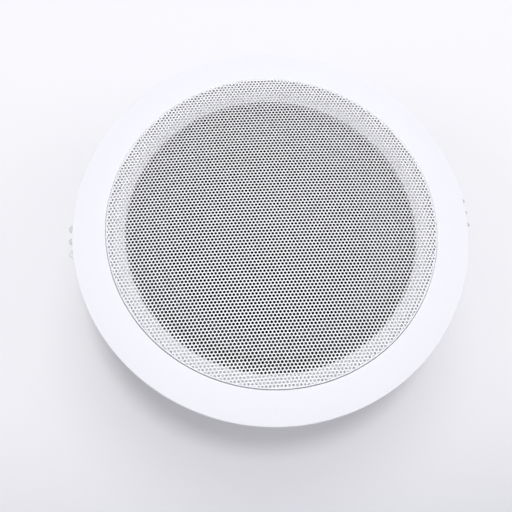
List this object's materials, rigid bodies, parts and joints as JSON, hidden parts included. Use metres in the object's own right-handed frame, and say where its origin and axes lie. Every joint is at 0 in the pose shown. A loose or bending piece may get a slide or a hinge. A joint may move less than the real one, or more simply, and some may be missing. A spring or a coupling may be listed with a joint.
{
  "type": "in-ceiling speaker",
  "caption": "Round in-ceiling speaker: white rim with a domed perforated grille, a cone driver behind it, push terminals and folding spring clips that grip the ceiling board.",
  "frame": {"origin": "on the axis, in the plane where the back of the rim meets the ceiling", "axes": "+Z out of the grille into the room, +X through the right spring clip"},
  "size_m": [0.2052, 0.2, 0.0778],
  "materials": {
    "white_plastic": "satin",
    "white_steel": "satin powder coat",
    "black_foam": "matte",
    "black_steel": "satin",
    "black_rubber": "matte",
    "black_pulp": "pressed pulp",
    "brown_film": "satin",
    "copper": "satin",
    "tan_cloth": "woven",
    "zinc_steel": "zinc plated",
    "ferrite": "ground",
    "black_plastic": "satin",
    "red_plastic": "gloss",
    "tag_brass": "stamped",
    "rivet_metal": "satin"
  },
  "bodies": {
    "housing": {"bezel": "white_plastic", "grille": "white_steel", "gasket": "black_foam", "basket": "black_steel", "surround": "black_rubber", "spider": "tan_cloth", "top_plate": "zinc_steel", "magnet": "ferrite", "yoke": "zinc_steel", "driver_screws": "zinc_steel", "right_hinge_pin": "zinc_steel", "left_hinge_pin": "zinc_steel", "right_torsion_spring": "zinc_steel", "left_torsion_spring": "zinc_steel", "terminal_block": "black_plastic", "terminal_plate": "black_plastic", "red_button_spring": "zinc_steel", "black_button_spring": "zinc_steel", "contact_tags": "tag_brass", "terminal_rivet": "rivet_metal", "tinsel_leads": "copper"},
    "cone_assembly": {"cone": "black_pulp", "dust_cap": "black_pulp", "voice_coil_former": "brown_film", "voice_coil": "copper"},
    "right_clip": {"right_clip_arm": "zinc_steel"},
    "left_clip": {"left_clip_arm": "zinc_steel"},
    "red_button": {"red_push_button": "red_plastic"},
    "black_button": {"black_push_button": "black_plastic"}
  },
  "joints": [
    {"name": "cone_travel", "type": "slide", "parent": "housing", "child": "cone_assembly", "axis": [0, 0, 1], "range_m": [-0.003, 0.003], "stiffness_N_per_m": 1500, "deforming": ["surround", "spider", "tinsel_leads"]},
    {"name": "right_clip_fold", "type": "hinge", "parent": "housing", "child": "right_clip", "pos_m": [0.0795, 0, -0.031], "axis": [0, 1, 0], "range_deg": [0, 140], "stiffness_Nm_per_rad": 0.15, "springref_deg": -68.75, "deforming": ["right_torsion_spring"]},
    {"name": "left_clip_fold", "type": "hinge", "parent": "housing", "child": "left_clip", "pos_m": [-0.0795, 0, -0.031], "axis": [0, -1, 0], "range_deg": [0, 140], "stiffness_Nm_per_rad": 0.15, "springref_deg": -68.75, "deforming": ["left_torsion_spring"]},
    {"name": "red_button_push", "type": "slide", "parent": "housing", "child": "red_button", "axis": [0, -0.6211, 0.7837], "range_m": [0, 0.0018], "stiffness_N_per_m": 300, "springref_m": -0.004, "deforming": ["red_button_spring"]},
    {"name": "black_button_push", "type": "slide", "parent": "housing", "child": "black_button", "axis": [0, -0.6211, 0.7837], "range_m": [0, 0.0018], "stiffness_N_per_m": 300, "springref_m": -0.004, "deforming": ["black_button_spring"]}
  ]
}
